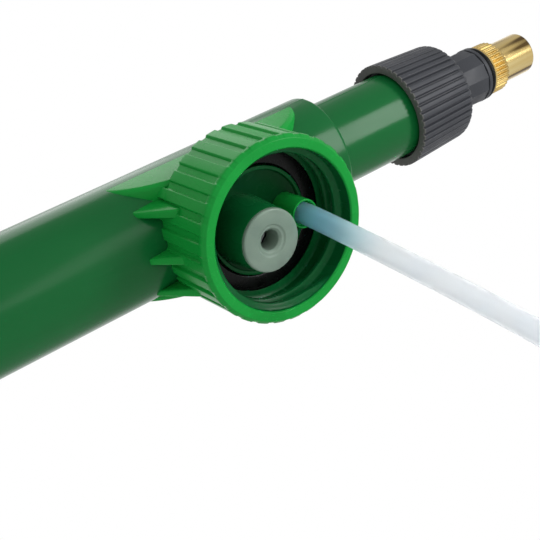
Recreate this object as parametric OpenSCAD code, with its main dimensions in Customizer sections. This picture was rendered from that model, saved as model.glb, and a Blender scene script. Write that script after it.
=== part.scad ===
// Bottle-top hand pump sprayer: air pump barrel, bottle cap and adjustable jet.
// Millimetres. Origin on the cap axis where the bottle's rim seals; +X runs to
// the nozzle, +Z points up out of the bottle, so the cap opens towards -Z.

/* [Cap] */
// radius of the wall at the root of the internal neck thread
cap_thread_root_r = 14.0; // [13.9:0.05:14.3]
// height of each thread ridge, measured inwards from the root
cap_thread_depth = 1.15; // [0.8:0.05:1.25]
// rise of the neck thread in one turn
cap_thread_pitch = 2.7; // [2.6:0.02:2.76]
// depth of the skirt below the sealing plane
skirt_depth = 8.33; // [8:0.1:10]
// height of the top of the skirt above the sealing plane
skirt_top = 5.8; // [5.6:0.1:6.4]
// inner radius of the bead that holds the gasket in
bead_r = 12.5; // [12.5:0.05:12.9]
// radius of the skirt between its grip ribs
skirt_r = 15.85; // [15.7:0.05:16]
// radius over the grip ribs
rib_r = 16.3; // [16.2:0.02:16.34]
// number of grip ribs round the skirt
rib_count = 30; // [20:1:36]
// outer radius of the plain band at the lip
lip_r = 16.4; // [16.4:0.05:16.6]
// height of the plain band at the lip
lip_h = 1.5; // [1:0.1:2]

/* [Barrel] */
// height of the barrel axis above the sealing plane
axis_z = 15.0; // [14.8:0.1:15.2]
// outer radius of the pump barrel
barrel_r = 11.0; // [10.6:0.1:11.2]
// bore radius of the pump barrel
bore_r = 9.0; // [8.9:0.05:9.2]
// distance from the cap axis back to the open end of the barrel
barrel_back = 178; // [150:1:200]
// position of the step between barrel and outlet tube
barrel_front = 25.1; // [24:0.1:26]
// outer radius of the outlet tube
outlet_r = 8.5; // [8.3:0.1:8.6]
// bore radius of the outlet tube
outlet_bore_r = 5.5; // [4.5:0.1:6]
// position of the front end of the outlet tube
outlet_end = 55.5; // [55:0.1:56]

/* [Valve and tube bosses] */
// distance of the air valve behind the cap axis
valve_x = 3.5; // [3.3:0.1:3.8]
// radius of the air valve boss
valve_boss_r = 6.2; // [6.1:0.05:6.4]
// radius of the flange on the valve plug
plug_r = 5.5; // [5.3:0.05:5.6]
// radius of the air hole through the plug
plug_hole_r = 1.8; // [1.2:0.1:2]
// distance of the dip tube in front of the cap axis
tube_x = 6.04; // [5.9:0.02:6.2]
// outer radius of the dip tube
tube_r = 1.9; // [1.8:0.05:2.0]
// bore radius of the dip tube
tube_bore_r = 1.3; // [1:0.05:1.4]
// length of the straight lower leg of the dip tube
tube_tail = 84; // [20:1:120]

/* [Pump] */
// radius of the piston rod
rod_r = 4.0; // [3.5:0.1:4.4]
// sliding clearance, on the radius
slide_gap = 0.05; // [0.02:0.01:0.08]
// width of the handle's cross bar
handle_w = 84; // [70:1:110]
// radius of the handle's cross bar
handle_r = 8.5; // [7:0.1:10]

/* [Union nut and jet] */
// rear end of the union nut
nut_back = 43.8; // [43:0.1:45]
// front end of the union nut
nut_front = 58.3; // [58:0.1:59]
// radius over the union nut's ribs at its rear end
nut_back_r = 10.7; // [10.5:0.1:11.2]
// radius over the union nut's ribs at its front end
nut_front_r = 10.0; // [9.9:0.1:10.4]
// number of grip ribs on the union nut
nut_ribs = 44; // [24:1:48]
// front end of the jet holder
holder_front = 68.2; // [67:0.1:69]
// front end of the brass nozzle
nozzle_front = 82.4; // [81.5:0.1:83]
// radius of the smooth tip of the brass nozzle
nozzle_tip_r = 4.35; // [4.2:0.05:4.6]
// radius of the jet's spray hole
spray_hole_r = 0.5; // [0.3:0.05:0.8]

/* [Hidden] */
$fn = 96;
over = 0.2;
lip_z = -skirt_depth;
ceiling_z = 1.8;
land_r = 9.8;
gasket_r = cap_thread_root_r - 0.1;
rib_step = 360 / rib_count;
rib_top_w = 0.56 * 2 * PI * rib_r / rib_count;
rib_base_w = rib_top_w + 0.5;
arc_per_seg = 30;
thread_segs = 23;
thread_start_a = 60;
thread_low_z = lip_z + 1.25;
saddle_r = 18.35;
saddle_rise = 8.23;
saddle_mid = 0.6;
saddle_off = 5.1;
saddle_steps = 8;
saddle_a0 = asin(saddle_rise / saddle_r);
saddle_da = (asin((axis_z + saddle_rise - skirt_top + 0.6) / saddle_r) - saddle_a0) / saddle_steps;
valve_boss_z = -8.2;
spigot_r = 4.7;
chamber_r = 4.3;
seat_z = 2.0;
plug_top = -2.6;
plug_low = -9.0;
pocket_floor = -4.7;
pocket_r = 3.7;
spring_r = 2.5;
spring_wire_r = 0.32;
spring_turns = 4;
boss_low = -5.86;
tube_top = 1.3;
tube_exit = -5.2;
bore_front = 0.5;
outlet_bore_back = 4.6;
flange_back = outlet_end + 1;
ring_back = holder_front;
nozzle_back = holder_front + 1.1;
stem_r = 3.1;
cup_front = -5.6;
cup_back = -8.5;
head_back = -26;
rod_front = -11.6;
guide_front = -168;
seat_back = -barrel_back - 3.5;
gland_back = -barrel_back - 8;
gland_ribs = 36;
bump_back = gland_back - 3;
bar_x = -barrel_back - 44;
rod_back = bar_x + 2;
pin_x = bump_back - 11;

// a round bar on the barrel axis, from x0 to x1
module bar(x0, x1, r0, r1) {
    translate([x0, 0, axis_z])
        rotate([0, 90, 0])
            cylinder(h = x1 - x0, r1 = r0, r2 = r1);
}

// lays an X-Z outline flat and gives it a width along Y
module plate(w) {
    translate([0, w / 2, 0])
        rotate([90, 0, 0])
            linear_extrude(w)
                children();
}

// one trapezoid grip rib pointing along +X, from inside r_in out to r_out
module rib_outline(r_in, r_out, w_base, w_top) {
    polygon([[r_in, -w_base / 2], [r_out, -w_top / 2],
             [r_out, w_top / 2], [r_in, w_base / 2]]);
}

// the skirt's outside: ribbed wall above a plain lip band with a sloped edge
module skirt_outside() {
    translate([0, 0, lip_z + lip_h])
        cylinder(h = skirt_top - lip_z - lip_h, r = skirt_r);
    for (i = [0 : rib_count - 1])
        rotate([0, 0, i * rib_step])
            translate([0, 0, lip_z + lip_h - 0.3])
                linear_extrude(skirt_top - lip_z - lip_h + 0.15)
                    rib_outline(skirt_r - 1, rib_r, rib_base_w, rib_top_w);
    translate([0, 0, lip_z + 0.8])
        cylinder(h = lip_h - 0.8, r = lip_r);
    translate([0, 0, lip_z + 0.3])
        cylinder(h = 0.5, r1 = lip_r - 0.2, r2 = lip_r);
    translate([0, 0, lip_z])
        cylinder(h = 0.3, r1 = lip_r - 0.6, r2 = lip_r - 0.2);
}

// the two ribs beside the barrel carry on up to meet it
module long_ribs() {
    for (a = [-144, 144])
        rotate([0, 0, a])
            translate([0, 0, skirt_top - 1])
                linear_extrude(5)
                    rib_outline(skirt_r - 3, rib_r, rib_base_w, rib_top_w);
}

// the block that carries the barrel on the cap, curved up at both ends
module saddle() {
    plate(2 * barrel_r - 0.1)
        polygon([
            for (k = [0 : saddle_steps])
                [saddle_mid - saddle_off - saddle_r * cos(saddle_a0 + k * saddle_da),
                 axis_z + saddle_rise - saddle_r * sin(saddle_a0 + k * saddle_da)],
            for (k = [saddle_steps : -1 : 0])
                [saddle_mid + saddle_off + saddle_r * cos(saddle_a0 + k * saddle_da),
                 axis_z + saddle_rise - saddle_r * sin(saddle_a0 + k * saddle_da)]
        ]);
}

// three thin gussets between the back of the skirt and the barrel
module gussets() {
    plate(1.3)
        polygon([[-14.8, -1.2], [-16.4, -1.2], [-19.8, 4.0],
                 [-19.8, 5.2], [-14.8, 6.2]]);
    for (y = [-7.5, 7.5])
        translate([0, y, 0])
            plate(1.3)
                polygon([[-12.8, 0.4], [-14.6, 0.4], [-18.8, 7.2],
                         [-18.8, 8.6], [-12.8, 9]]);
}

// the neck thread: short level arcs, each one step up from the last
module neck_thread() {
    for (i = [0 : thread_segs - 1])
        rotate([0, 0, thread_start_a + i * arc_per_seg])
            translate([0, 0, thread_low_z + cap_thread_pitch * (i + 0.5) * arc_per_seg / 360])
                rotate_extrude(angle = arc_per_seg)
                    polygon([[cap_thread_root_r + 0.3, -0.95],
                             [cap_thread_root_r - cap_thread_depth, -0.35],
                             [cap_thread_root_r - cap_thread_depth, 0.35],
                             [cap_thread_root_r + 0.3, 0.95]]);
}

// the low bead that keeps the gasket in the cap
module gasket_bead() {
    rotate_extrude()
        polygon([[cap_thread_root_r + 0.3, -0.95],
                 [bead_r, -0.62],
                 [bead_r, -0.4],
                 [cap_thread_root_r + 0.3, -0.06]]);
}

// one-piece moulding: barrel, outlet tube, saddle, cap and bosses
module body() {
    color("green")
        difference() {
            union() {
                difference() {
                    union() {
                        bar(-barrel_back, barrel_front, barrel_r, barrel_r);
                        bar(barrel_front - 1, outlet_end, outlet_r, outlet_r);
                        saddle();
                        skirt_outside();
                        long_ribs();
                        gussets();
                    }
                    translate([0, 0, lip_z - 1])
                        cylinder(h = ceiling_z - lip_z + 1, r = cap_thread_root_r);
                    translate([0, 0, lip_z - over])
                        cylinder(h = 0.25 + over, r1 = cap_thread_root_r + 0.25 + over,
                                 r2 = cap_thread_root_r);
                }
                translate([0, 0, 0.2])
                    cylinder(h = ceiling_z + 0.2, r = land_r);
                translate([-valve_x, 0, valve_boss_z])
                    cylinder(h = ceiling_z - valve_boss_z + 0.2, r1 = plug_r + 0.05,
                             r2 = valve_boss_r);
                translate([tube_x, 0, boss_low])
                    cylinder(h = ceiling_z - boss_low + 0.2, r = tube_r + 0.7);
                translate([0, -1.1, boss_low + 0.3])
                    cube([tube_x, 2.2, ceiling_z - boss_low]);
                neck_thread();
                gasket_bead();
            }
            bar(-barrel_back - 1, bore_front, bore_r, bore_r);
            bar(outlet_bore_back, outlet_end + 1, outlet_bore_r, outlet_bore_r);
            translate([-valve_x, 0, valve_boss_z - 1])
                cylinder(h = plug_top - valve_boss_z + 1, r = spigot_r);
            translate([-valve_x, 0, plug_top - 0.1])
                cylinder(h = seat_z - plug_top + 0.1, r = chamber_r);
            translate([-valve_x, 0, seat_z - 1])
                cylinder(h = 6, r = 1.5);
            translate([tube_x, 0, boss_low - 1])
                cylinder(h = tube_top - boss_low + 1, r = tube_r);
            translate([tube_x, 0, boss_low - over])
                cylinder(h = 1.2 + over, r1 = tube_r + 0.4, r2 = tube_r);
            translate([tube_x, 0, tube_top - 1])
                cylinder(h = axis_z - tube_top, r = 1.2);
        }
}

// flat ring that seals on the bottle's rim
module neck_gasket() {
    color("black")
        difference() {
            cylinder(h = ceiling_z - 0.02, r = gasket_r);
            translate([0, 0, -1])
                cylinder(h = ceiling_z + 2, r = land_r + 0.05);
        }
}

// pressed-in plug that closes the air valve and carries its spring
module valve_plug() {
    color("white")
        translate([-valve_x, 0, 0])
            difference() {
                union() {
                    translate([0, 0, plug_low])
                        cylinder(h = valve_boss_z - plug_low, r = plug_r);
                    translate([0, 0, plug_low + 0.2])
                        cylinder(h = plug_top - plug_low - 0.2, r = spigot_r);
                }
                translate([0, 0, pocket_floor])
                    cylinder(h = plug_top - pocket_floor + 1, r = pocket_r);
                translate([0, 0, plug_low - 1])
                    cylinder(h = pocket_floor - plug_low + 2, r = plug_hole_r);
                translate([0, 0, plug_low - 0.01])
                    cylinder(h = 0.5, r1 = plug_hole_r + 0.5, r2 = plug_hole_r);
            }
}

// rubber-faced disc that lets air down into the bottle only
module check_valve_poppet() {
    color("black")
        translate([-valve_x, 0, 0])
            union() {
                translate([0, 0, seat_z - 1.63])
                    cylinder(h = 1.6, r = chamber_r - 0.7);
                translate([0, 0, -1.6])
                    cylinder(h = 2.2, r = 1.5);
            }
}

// light coil spring between the plug and the poppet
module check_valve_spring() {
    sides = 8;
    steps = 18 * spring_turns;
    low = pocket_floor + 1.1 * spring_wire_r;
    rise = (seat_z - 1.75 - pocket_floor - 2.2 * spring_wire_r) / steps;
    color("silver")
        translate([-valve_x, 0, low])
            polyhedron(
                points = [for (i = [0 : steps], j = [0 : sides - 1])
                    let (a = i * 20,
                         b = j * 360 / sides,
                         r = spring_r + spring_wire_r * cos(b))
                        [r * cos(a), r * sin(a), i * rise + spring_wire_r * sin(b)]],
                faces = concat(
                    [[for (j = [0 : sides - 1]) j]],
                    [for (i = [0 : steps - 1], j = [0 : sides - 1])
                        [i * sides + j, (i + 1) * sides + j,
                         (i + 1) * sides + (j + 1) % sides, i * sides + (j + 1) % sides]],
                    [[for (j = [sides - 1 : -1 : 0]) steps * sides + j]]));
}

// pipe wall outline used by every leg of the dip tube
module pipe_ring() {
    difference() {
        circle(r = tube_r);
        circle(r = tube_bore_r);
    }
}

// short sleeve a hair thicker than the pipe, which welds two legs together
module weld() {
    translate([0, 0, -0.3])
        linear_extrude(0.6)
            difference() {
                circle(r = tube_r + 0.02);
                circle(r = tube_bore_r - 0.02);
            }
}

// straight leg going down -Z; children carry on from its end
module leg(l) {
    translate([0, 0, -l])
        linear_extrude(l)
            pipe_ring();
    translate([0, 0, -l]) {
        if ($children > 0) weld();
        children();
    }
}

// bend from -Z towards +X; children carry on from its end
module bend(r, a) {
    translate([r, 0, 0])
        rotate([-90, 0, 180])
            rotate_extrude(angle = a)
                translate([r, 0])
                    pipe_ring();
    translate([r - r * cos(a), 0, -r * sin(a)])
        rotate([0, -a, 0]) {
            weld();
            children();
        }
}

// soft plastic pipe that reaches the bottle's bottom
module dip_tube() {
    color("white")
        translate([tube_x, 0, tube_top - 0.05])
            rotate([0, 0, 60.7])
                leg(tube_top - 0.05 - tube_exit)
                    bend(16, 13.3)
                        bend(328, 5.24)
                            bend(143, 5.6)
                                rotate([0, 0, 180])
                                    bend(200, 32)
                                        leg(tube_tail);
}

// ribbed nut that clamps the jet holder on the outlet tube
module union_nut() {
    color("dimgray")
        difference() {
            union() {
                bar(nut_back, nut_front - 0.5, nut_back_r - 0.5, nut_front_r - 0.5);
                bar(nut_front - 0.5, nut_front, nut_front_r - 0.5, nut_front_r - 1);
                intersection() {
                    bar(nut_back, nut_front - 0.5, nut_back_r, nut_front_r);
                    translate([nut_back + 0.15, 0, axis_z])
                        rotate([0, 90, 0])
                            linear_extrude(nut_front - nut_back)
                                for (i = [0 : nut_ribs - 1])
                                    rotate(i * 360 / nut_ribs)
                                        rib_outline(nut_front_r - 1.5, nut_back_r + 1,
                                                    1.2, 0.9);
                }
            }
            bar(nut_back - 1, nut_back + 1.5, outlet_r + 0.5, outlet_r + 0.5);
            bar(nut_back + 1, nut_front - 1.5, outlet_r + slide_gap, outlet_r + slide_gap);
            bar(nut_front - 2, nut_front + 1, 5.4, 5.4);
        }
}

// soft washer between the outlet tube and the holder's flange
module nozzle_gasket() {
    color("black")
        difference() {
            bar(outlet_end + 0.05, flange_back - 0.02, outlet_r - 0.4, outlet_r - 0.4);
            bar(outlet_end - 1, flange_back + 1, outlet_bore_r, outlet_bore_r);
        }
}

// plastic holder: flange inside the nut, faceted neck in front of it
module nozzle_holder() {
    color("dimgray")
        difference() {
            union() {
                bar(flange_back, nut_front - 1.55, outlet_r - 0.4, outlet_r - 0.4);
                bar(flange_back, nut_front + 0.4, 5.1, 5.1);
                translate([nut_front + 0.2, 0, axis_z])
                    rotate([0, 90, 0])
                        cylinder(h = holder_front - nut_front - 1.1, r = 5.55, $fn = 12);
                bar(holder_front - 0.9, holder_front, 5.7, 5.7);
            }
            bar(flange_back - 1, holder_front + 1, 2.5, 2.5);
        }
}

// threaded brass stem fixed in the holder; its cone closes the spray hole
module jet_core() {
    color("goldenrod")
        difference() {
            union() {
                bar(flange_back + 2, holder_front + 0.5, 2.5, 2.5);
                bar(holder_front + 0.02, nozzle_back + 6.4, stem_r, stem_r);
                bar(nozzle_back + 6.2, nozzle_front - 3.6, 2.1, 2.1);
                bar(nozzle_front - 3.6, nozzle_front - 1.3, 2.1, 0.4);
            }
            bar(flange_back, nozzle_front - 4.6, 1.1, 1.1);
            translate([nozzle_front - 5.4, 0, axis_z - 4])
                cylinder(h = 8, r = 0.6);
        }
}

// small ring that seals the stem inside the nozzle
module stem_o_ring() {
    color("black")
        translate([nozzle_back + 7.3, 0, axis_z])
            rotate([0, 90, 0])
                rotate_extrude()
                    translate([2.6, 0])
                        circle(r = 0.5);
}

// ring between the holder and the brass nozzle
module holder_o_ring() {
    color("black")
        difference() {
            union() {
                bar(ring_back + 0.05, ring_back + 0.35, 5.3, 5.6);
                bar(ring_back + 0.35, nozzle_back - 0.35, 5.6, 5.6);
                bar(nozzle_back - 0.35, nozzle_back - 0.03, 5.6, 5.3);
            }
            bar(ring_back - 1, nozzle_back + 1, stem_r + slide_gap, stem_r + slide_gap);
        }
}

// screw-on jet: knurled collar and smooth tip with the spray hole
module brass_nozzle() {
    color("gold")
        difference() {
            union() {
                bar(nozzle_back, nozzle_back + 0.4, 5.0, 5.35);
                bar(nozzle_back + 0.4, nozzle_back + 4.2, 5.35, 5.15);
                bar(nozzle_back + 4.2, nozzle_back + 4.6, 5.15, 4.8);
                bar(nozzle_back + 4.5, nozzle_front - 0.8, nozzle_tip_r, nozzle_tip_r);
                bar(nozzle_front - 0.8, nozzle_front, nozzle_tip_r, nozzle_tip_r - 0.8);
            }
            bar(nozzle_back - 1, nozzle_front - 3.2, stem_r + slide_gap, stem_r + slide_gap);
            bar(nozzle_front - 3.25, nozzle_front - 1.2, stem_r + slide_gap, 0.8);
            bar(nozzle_front - 2, nozzle_front + 1, spray_hole_r, spray_hole_r);
        }
}

// piston body: flange in the barrel, hub that holds the rod's end
module piston_head() {
    color("dimgray")
        difference() {
            union() {
                bar(rod_front + 0.6, cup_back, bore_r - 0.4, bore_r - 0.4);
                bar(head_back, rod_front + 0.7, 6.4, 6.4);
                bar(cup_back - 0.5, cup_front, 2.2, 2.2);
            }
            bar(head_back - 1, rod_front + 0.1, rod_r + slide_gap, rod_r + slide_gap);
        }
}

// cup washer: its lip faces the bottle valve and seals on the push stroke
module piston_cup() {
    color("black")
        difference() {
            union() {
                bar(cup_back + 0.02, cup_front - 1, bore_r - slide_gap, bore_r - slide_gap);
                bar(cup_front - 1.1, cup_front, bore_r - slide_gap, bore_r - slide_gap);
            }
            bar(cup_front - 1.4, cup_front + 1, bore_r - 1.2, bore_r - 0.8);
            bar(cup_back - 1, cup_front + 1, 2.2, 2.2);
        }
}

// retaining nut on the piston's front spigot
module piston_nut() {
    color("silver")
        translate([cup_front - 1.38, 0, axis_z])
            rotate([0, 90, 0])
                difference() {
                    cylinder(h = 1.3, r = 4.6, $fn = 6);
                    translate([0, 0, -1])
                        cylinder(h = 4, r = 2.2);
                }
}

// hollow rod from the piston to the handle
module piston_rod() {
    color("dimgray")
        difference() {
            bar(rod_back, rod_front, rod_r, rod_r);
            bar(rod_back + 6, rod_front + 1, rod_r - 1.4, rod_r - 1.4);
            translate([pin_x, 0, axis_z - 10])
                cylinder(h = 20, r = 1.5);
        }
}

// bush in the barrel's open end, with air holes round the rod
module rod_guide() {
    color("gray")
        difference() {
            union() {
                bar(-barrel_back, guide_front, bore_r, bore_r);
                bar(seat_back, -barrel_back, barrel_r - 0.2, barrel_r - 0.2);
            }
            bar(seat_back - 1, guide_front + 1, rod_r + slide_gap, rod_r + slide_gap);
            bar(seat_back - 1, seat_back + 1.6, 6.0, 6.0);
            for (a = [0 : 90 : 270])
                translate([0, 0, axis_z])
                    rotate([a + 45, 0, 0])
                        translate([seat_back - 1, 0, 7.4])
                            rotate([0, 90, 0])
                                cylinder(h = guide_front - seat_back + 2, r = 0.9);
        }
}

// wiper ring round the rod, held in the bush
module rod_seal() {
    color("black")
        difference() {
            bar(seat_back + 0.02, seat_back + 1.58, 6.0, 6.0);
            bar(seat_back - 1, seat_back + 3, rod_r + slide_gap, rod_r + slide_gap);
        }
}

// ribbed nut that holds the bush in the barrel's open end
module gland_nut() {
    color("dimgray")
        difference() {
            union() {
                bar(gland_back, gland_back + 1, 11.9, 12.7);
                bar(gland_back + 1, guide_front + 1, 12.7, 12.7);
                translate([gland_back + 1, 0, axis_z])
                    rotate([0, 90, 0])
                        linear_extrude(guide_front - gland_back - 1)
                            for (i = [0 : gland_ribs - 1])
                                rotate(i * 360 / gland_ribs)
                                    rib_outline(11.9, 13.3, 1.5, 1.1);
            }
            bar(seat_back, guide_front + 2, barrel_r + 0.02, barrel_r + 0.02);
            bar(gland_back - 1, seat_back + 1, rod_r + 0.4, rod_r + 0.4);
            for (a = [0 : 60 : 300])
                translate([0, 0, axis_z])
                    rotate([a, 0, 0])
                        translate([gland_back - 1, 0, 7.4])
                            rotate([0, 90, 0])
                                cylinder(h = 6, r = 1.2);
        }
}

// rubber ring that softens the handle's stop on the gland nut
module bump_stop() {
    color("black")
        difference() {
            union() {
                bar(bump_back + 0.02, bump_back + 0.5, 7.0, 7.5);
                bar(bump_back + 0.5, gland_back - 0.55, 7.5, 7.5);
                bar(gland_back - 0.55, gland_back - 0.05, 7.5, 7.0);
            }
            bar(bump_back - 1, gland_back + 1, rod_r + 0.01, rod_r + 0.01);
        }
}

// T handle: tapered stem and a round-ended cross bar
module handle() {
    bar_l = handle_w - 2 * handle_r;
    color("dimgray")
        difference() {
            union() {
                bar(bar_x, bump_back, handle_r - 0.6, 7.5);
                translate([bar_x, -bar_l / 2, axis_z])
                    rotate([-90, 0, 0])
                        cylinder(h = bar_l, r = handle_r);
                for (y = [-bar_l / 2, bar_l / 2])
                    translate([bar_x, y, axis_z])
                        sphere(r = handle_r);
            }
            bar(rod_back, bump_back + 1, rod_r + 0.01, rod_r + 0.01);
            translate([pin_x, 0, axis_z - 20])
                cylinder(h = 40, r = 1.5);
        }
}

// cross pin that fixes the handle on the rod
module handle_pin() {
    color("silver")
        translate([pin_x, 0, axis_z - 7.2])
            cylinder(h = 14.4, r = 1.5);
}

body();
neck_gasket();
valve_plug();
check_valve_poppet();
check_valve_spring();
dip_tube();
union_nut();
nozzle_gasket();
nozzle_holder();
jet_core();
stem_o_ring();
holder_o_ring();
brass_nozzle();
piston_head();
piston_cup();
piston_nut();
piston_rod();
rod_guide();
rod_seal();
gland_nut();
bump_stop();
handle();
handle_pin();
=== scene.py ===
import math

import bmesh
import bpy
import numpy as np
from mathutils import Matrix, Vector


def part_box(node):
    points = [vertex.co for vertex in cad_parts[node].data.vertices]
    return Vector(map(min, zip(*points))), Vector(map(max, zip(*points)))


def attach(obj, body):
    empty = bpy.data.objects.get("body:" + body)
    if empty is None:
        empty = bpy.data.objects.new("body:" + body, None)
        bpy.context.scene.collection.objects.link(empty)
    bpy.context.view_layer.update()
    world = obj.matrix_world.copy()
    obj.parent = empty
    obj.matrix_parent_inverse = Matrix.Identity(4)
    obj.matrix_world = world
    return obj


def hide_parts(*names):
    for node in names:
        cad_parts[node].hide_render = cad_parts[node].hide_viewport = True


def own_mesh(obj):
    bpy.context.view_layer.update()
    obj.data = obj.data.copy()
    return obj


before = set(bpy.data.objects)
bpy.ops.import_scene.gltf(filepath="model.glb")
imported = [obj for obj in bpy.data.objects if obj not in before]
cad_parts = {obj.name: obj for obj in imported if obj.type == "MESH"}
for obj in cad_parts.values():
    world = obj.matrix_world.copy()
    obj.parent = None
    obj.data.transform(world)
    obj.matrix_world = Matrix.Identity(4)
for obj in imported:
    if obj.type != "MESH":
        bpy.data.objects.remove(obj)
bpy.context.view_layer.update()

# The pump sprayer's visual pieces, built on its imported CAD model.
#
# Shapes are in millimetres, and MM turns them into Blender's metres. Shader depths, lamps and the
# camera are in metres. The pump's axis runs along X, the bottle screws on from below along Z, and
# z = 0 is the face that the bottle's rim seals on.
#
# An outline is a list of points (s, r): s along the piece's axis and r away from it. Where fillet
# is given a third number, it rounds that corner.

MM = 0.001


def cad_box(node):
    """A CAD node's lowest and highest corners at rest, in millimetres."""
    return [[round(value / MM, 3) for value in corner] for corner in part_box(node)]


body_low, body_high = cad_box("body")
rod_low, rod_high = cad_box("piston_rod")
AXIS_Z = (rod_low[2] + rod_high[2]) / 2

# a piece's axis, and the directions of its angles 0 and 90 degrees
X_AXIS = ((1, 0, 0), (0, 1, 0), (0, 0, 1))
Y_AXIS = ((0, 1, 0), (0, 0, 1), (1, 0, 0))
Z_AXIS = ((0, 0, 1), (1, 0, 0), (0, 1, 0))


# ---------------------------------------------------------------- shaders

EVEN = (1, 1, 1)                    # a noise that isn't stretched
NOISE_LOW, NOISE_HIGH = 0.3, 0.7    # most of a noise lies between these
FINE, DEEPER, COARSE = 0.00002, 0.00003, 0.0001


def set_inputs(node, values):
    """Sets a node's inputs by name."""
    for name, value in values.items():
        node.inputs[name].default_value = value


def shader_tree(name):
    """A new material that is one Principled shader."""
    mat = bpy.data.materials.new(name)
    mat.use_nodes = True
    nt = mat.node_tree
    nt.nodes.clear()
    out = nt.nodes.new("ShaderNodeOutputMaterial")
    bsdf = nt.nodes.new("ShaderNodeBsdfPrincipled")
    nt.links.new(bsdf.outputs["BSDF"], out.inputs["Surface"])
    return mat, nt, bsdf


def noise(nt, scale, detail, stretch=EVEN):
    """A noise fixed to the object, pulled out along the axes where stretch is small."""
    coord = nt.nodes.new("ShaderNodeTexCoord")
    mapping = nt.nodes.new("ShaderNodeMapping")
    set_inputs(mapping, {"Scale": stretch})
    tex = nt.nodes.new("ShaderNodeTexNoise")
    set_inputs(tex, {"Scale": scale, "Detail": detail})
    nt.links.new(coord.outputs["Object"], mapping.inputs["Vector"])
    nt.links.new(mapping.outputs["Vector"], tex.inputs["Vector"])
    return tex.outputs["Fac"]


def ramp(nt, fac, stops):
    """Turns a noise into colours: stops are (value, colour)."""
    node = nt.nodes.new("ShaderNodeValToRGB")
    elements = node.color_ramp.elements
    while len(elements) < len(stops):
        elements.new(0.5)
    for element, (value, colour) in zip(elements, stops):
        element.position = value
        element.color = (*colour, 1)
    nt.links.new(fac, node.inputs["Fac"])
    return node.outputs["Color"]


def spread(nt, fac, low, high):
    """Turns a noise into values from low to high."""
    node = nt.nodes.new("ShaderNodeMapRange")
    set_inputs(node, {"From Min": NOISE_LOW, "From Max": NOISE_HIGH, "To Min": low, "To Max": high})
    nt.links.new(fac, node.inputs["Value"])
    return node.outputs["Result"]


def paint(nt, bsdf, colour, roughness):
    nt.links.new(colour, bsdf.inputs["Base Color"])
    nt.links.new(roughness, bsdf.inputs["Roughness"])


def add_bump(nt, bsdf, layers):
    """Adds bumps one on another: layers are (noise, depth in metres, strength)."""
    last = None
    for fac, depth, strength in layers:
        node = nt.nodes.new("ShaderNodeBump")
        set_inputs(node, {"Distance": depth, "Strength": strength})
        nt.links.new(fac, node.inputs["Height"])
        if last:
            nt.links.new(last, node.inputs["Normal"])
        last = node.outputs["Normal"]
    nt.links.new(last, bsdf.inputs["Normal"])


def plastic(name, dark, light, rough, grain, spec, flow=EVEN):
    """Moulded plastic: clouds of two close shades, and a fine grain over slow waves."""
    mat, nt, bsdf = shader_tree(name)
    clouds = ramp(nt, noise(nt, 60, 4, flow), [(NOISE_LOW, dark), (NOISE_HIGH, light)])
    paint(nt, bsdf, clouds, spread(nt, noise(nt, 220, 3, flow), *rough))
    add_bump(nt, bsdf, [(noise(nt, 2600, 2), FINE, grain),
                        (noise(nt, 140, 2, flow), COARSE, grain * 0.35)])
    set_inputs(bsdf, {"Specular IOR Level": spec, "IOR": 1.49})
    return mat


def cloudy(name, dark, light, rough, transmission, scatter, grain, ior=1.45, coat=0.0):
    """Plastic without a pigment, which lets some light through and scatters some."""
    mat, nt, bsdf = shader_tree(name)
    clouds = ramp(nt, noise(nt, 240, 3), [(NOISE_LOW, dark), (NOISE_HIGH, light)])
    paint(nt, bsdf, clouds, spread(nt, noise(nt, 500, 2), *rough))
    add_bump(nt, bsdf, [(noise(nt, 900, 2), DEEPER, grain)])
    set_inputs(bsdf, {"Transmission Weight": transmission, "Subsurface Weight": scatter,
                      "Subsurface Radius": (0.8, 1.0, 0.9), "Subsurface Scale": 0.002,
                      "IOR": ior, "Coat Weight": coat, "Coat Roughness": 0.15})
    return mat


def tint_top(mat, tint, low, high):
    """Blends a tint over the base colour from the height low up to the height high, in metres."""
    nt = mat.node_tree
    bsdf = next(node for node in nt.nodes if node.type == "BSDF_PRINCIPLED")
    plain = bsdf.inputs["Base Color"].links[0].from_socket
    coord = nt.nodes.new("ShaderNodeTexCoord")
    split = nt.nodes.new("ShaderNodeSeparateXYZ")
    rise = nt.nodes.new("ShaderNodeMapRange")
    rise.interpolation_type = "SMOOTHSTEP"
    set_inputs(rise, {"From Min": low, "From Max": high})
    mix = nt.nodes.new("ShaderNodeMix")
    mix.data_type = "RGBA"
    set_inputs(mix, {"B": (*tint, 1)})
    nt.links.new(coord.outputs["Object"], split.inputs["Vector"])
    nt.links.new(split.outputs["Z"], rise.inputs["Value"])
    nt.links.new(rise.outputs["Result"], mix.inputs["Factor"])
    nt.links.new(plain, mix.inputs["A"])
    nt.links.new(mix.outputs["Result"], bsdf.inputs["Base Color"])


def metal(name, stops, rough, bump=0.4, scale=180, colour_stretch=EVEN, turned=EVEN):
    """Machined metal: colour_stretch stretches its shades, which on the nozzle's tip are bands of
    painted reflection, and turned stretches its tool marks.
    """
    mat, nt, bsdf = shader_tree(name)
    shades = ramp(nt, noise(nt, scale, 2, colour_stretch), stops)
    paint(nt, bsdf, shades, spread(nt, noise(nt, 300, 4, turned), *rough))
    add_bump(nt, bsdf, [(noise(nt, 900, 2, turned), FINE, bump)])
    set_inputs(bsdf, {"Metallic": 1.0})
    return mat


def rubber(name, dark, light, rough):
    mat, nt, bsdf = shader_tree(name)
    shades = ramp(nt, noise(nt, 400, 4), [(NOISE_LOW, dark), (0.75, light)])
    paint(nt, bsdf, shades, spread(nt, noise(nt, 600, 3), *rough))
    add_bump(nt, bsdf, [(noise(nt, 3200, 2), FINE, 0.5)])
    set_inputs(bsdf, {"Specular IOR Level": 0.2})
    return mat


# ---------------------------------------------------------------- materials

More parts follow.
